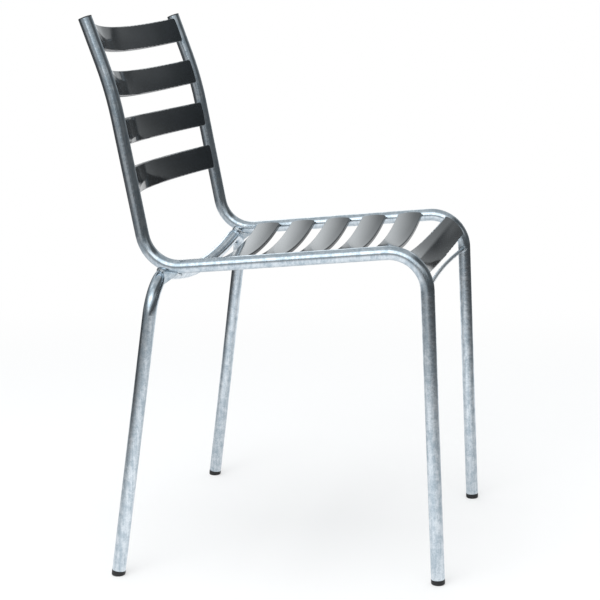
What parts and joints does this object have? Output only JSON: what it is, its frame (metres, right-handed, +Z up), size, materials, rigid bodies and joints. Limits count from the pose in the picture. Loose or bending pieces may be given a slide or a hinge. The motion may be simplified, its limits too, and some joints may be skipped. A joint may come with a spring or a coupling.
{
  "type": "stacking bistro chair",
  "caption": "Stacking outdoor chair with a bent steel tube frame, slatted back and dished slatted seat, splayed rear legs and plastic foot caps.",
  "frame": {"origin": "on the floor, at the middle of the chair's overall length and width", "axes": "+X to the front of the chair, +Y to the sitter's left, +Z up"},
  "size_m": [0.5505, 0.5422, 0.817],
  "materials": {
    "tube_zinc": "hot dip galvanised, bright with a mottled blue-grey cast",
    "bracket_zinc": "hot dip galvanised sheet",
    "weld_zinc": "galvanised weld metal with a rippled surface",
    "screw_steel": "bright button head screws",
    "slat_paint": "smooth gloss anthracite powder coat",
    "foot_plastic": "black moulded plastic",
    "plug_plastic": "dark grey moulded plastic"
  },
  "bodies": {
    "root": {"back_slat_1": "slat_paint", "back_slat_2": "slat_paint", "back_slat_3": "slat_paint", "back_slat_4": "slat_paint", "back_slat_screws_left": "screw_steel", "back_slat_screws_right": "screw_steel", "back_slat_tabs_left": "bracket_zinc", "back_slat_tabs_right": "bracket_zinc", "back_tab_welds_left": "weld_zinc", "back_tab_welds_right": "weld_zinc", "corner_gusset_left": "bracket_zinc", "corner_gusset_right": "bracket_zinc", "frame_welds_left": "weld_zinc", "frame_welds_right": "weld_zinc", "front_cross_rod": "tube_zinc", "front_foot_cap_left": "foot_plastic", "front_foot_cap_right": "foot_plastic", "front_rod_welds": "weld_zinc", "front_slat": "slat_paint", "front_slat_screws_left": "screw_steel", "front_slat_screws_right": "screw_steel", "front_slat_tabs_left": "bracket_zinc", "front_slat_tabs_right": "bracket_zinc", "front_tab_welds_left": "weld_zinc", "front_tab_welds_right": "weld_zinc", "rear_foot_cap_left": "foot_plastic", "rear_foot_cap_right": "foot_plastic", "rear_leg_frame": "tube_zinc", "seat_slat_1": "slat_paint", "seat_slat_2": "slat_paint", "seat_slat_3": "slat_paint", "seat_slat_4": "slat_paint", "seat_slat_5": "slat_paint", "seat_slat_screws_left": "screw_steel", "seat_slat_screws_right": "screw_steel", "seat_slat_tabs_left": "bracket_zinc", "seat_slat_tabs_right": "bracket_zinc", "seat_tab_welds_left": "weld_zinc", "seat_tab_welds_right": "weld_zinc", "side_frame_left": "tube_zinc", "side_frame_right": "tube_zinc", "upright_plug_left": "plug_plastic", "upright_plug_right": "plug_plastic"}
  },
  "joints": []
}
